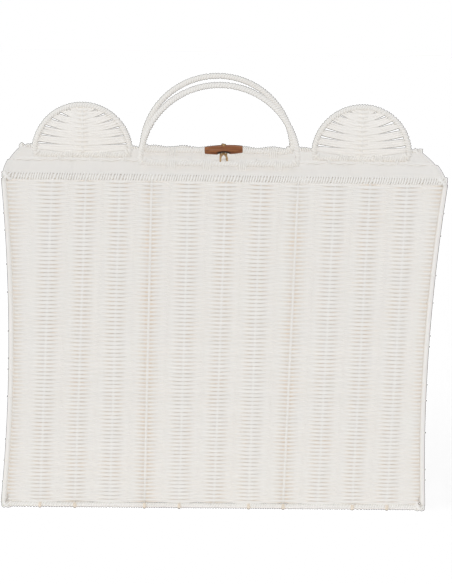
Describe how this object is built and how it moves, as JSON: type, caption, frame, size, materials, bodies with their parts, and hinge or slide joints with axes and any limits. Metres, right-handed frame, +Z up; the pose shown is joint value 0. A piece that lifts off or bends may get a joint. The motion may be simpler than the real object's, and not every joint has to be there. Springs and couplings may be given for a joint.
{
  "type": "wicker storage trunk",
  "caption": "Upright woven reed trunk in two hinged half shells, with wrapped loop handles, half-round woven ears and a wooden toggle closure.",
  "frame": {"origin": "on the floor under the middle of the seam between the two halves", "axes": "+Z up, +X along the width to the right, +Y from the front face to the back face"},
  "size_m": [0.44, 0.184, 0.4375],
  "materials": {
    "woven_reed": "brushed white paint on woven round reed",
    "cane_rod": "white painted cane",
    "wrapping_reed": "white painted wrapping reed",
    "toggle_wood": "oiled reddish brown wood",
    "twine": "natural twisted twine"
  },
  "bodies": {
    "back_half": {"back_face_weave": "woven_reed", "back_top_weave": "woven_reed", "back_bottom_weave": "woven_reed", "back_left_weave": "woven_reed", "back_right_weave": "woven_reed", "back_stakes": "cane_rod", "back_top_edge_rod": "cane_rod", "back_bottom_edge_rod": "cane_rod", "back_left_corner_post": "cane_rod", "back_right_corner_post": "cane_rod", "back_side_edge_rods": "cane_rod", "back_rim_rod": "cane_rod", "back_top_edge_wrap": "wrapping_reed", "back_bottom_edge_wrap": "wrapping_reed", "back_rim_bottom": "wrapping_reed", "back_rim_top": "wrapping_reed", "back_rim_left": "wrapping_reed", "back_rim_right": "wrapping_reed", "back_handle_lashings": "wrapping_reed", "back_hinge_bands": "wrapping_reed", "left_ear_rod": "cane_rod", "left_ear_wrap": "wrapping_reed", "left_ear_spine": "cane_rod", "left_ear_weave": "woven_reed", "right_ear_rod": "cane_rod", "right_ear_wrap": "wrapping_reed", "right_ear_spine": "cane_rod", "right_ear_weave": "woven_reed", "ear_lashings": "wrapping_reed", "hinge_pins": "cane_rod", "keeper_loop": "twine"},
    "front_half": {"front_face_weave": "woven_reed", "front_top_weave": "woven_reed", "front_bottom_weave": "woven_reed", "front_left_weave": "woven_reed", "front_right_weave": "woven_reed", "front_stakes": "cane_rod", "front_top_edge_rod": "cane_rod", "front_bottom_edge_rod": "cane_rod", "front_left_corner_post": "cane_rod", "front_right_corner_post": "cane_rod", "front_side_edge_rods": "cane_rod", "front_rim_rod": "cane_rod", "front_top_edge_wrap": "wrapping_reed", "front_bottom_edge_wrap": "wrapping_reed", "front_rim_bottom": "wrapping_reed", "front_rim_top": "wrapping_reed", "front_rim_left": "wrapping_reed", "front_rim_right": "wrapping_reed", "front_handle_lashings": "wrapping_reed", "front_hinge_bands": "wrapping_reed", "toggle_tie": "twine"},
    "toggle": {"toggle": "toggle_wood"},
    "front_handle": {"front_handle_rod": "cane_rod", "front_handle_wrap": "wrapping_reed"},
    "back_handle": {"back_handle_rod": "cane_rod", "back_handle_wrap": "wrapping_reed"}
  },
  "joints": [
    {"name": "front_half_hinge", "type": "hinge", "parent": "back_half", "child": "front_half", "pos_m": [0, 0, 0.0026], "axis": [1, 0, 0], "range_deg": [0, 175]},
    {"name": "toggle_swivel", "type": "hinge", "parent": "front_half", "child": "toggle", "pos_m": [0, 0.003, 0.3607], "axis": [0, 0, 1], "range_deg": [-90, 90]},
    {"name": "front_handle_swing", "type": "hinge", "parent": "front_half", "child": "front_handle", "pos_m": [-0.0055, -0.045, 0.3545], "axis": [1, 0, 0], "range_deg": [-30, 85]},
    {"name": "back_handle_swing", "type": "hinge", "parent": "back_half", "child": "back_handle", "pos_m": [-0.0055, 0.045, 0.352], "axis": [1, 0, 0], "range_deg": [-85, 30]}
  ]
}
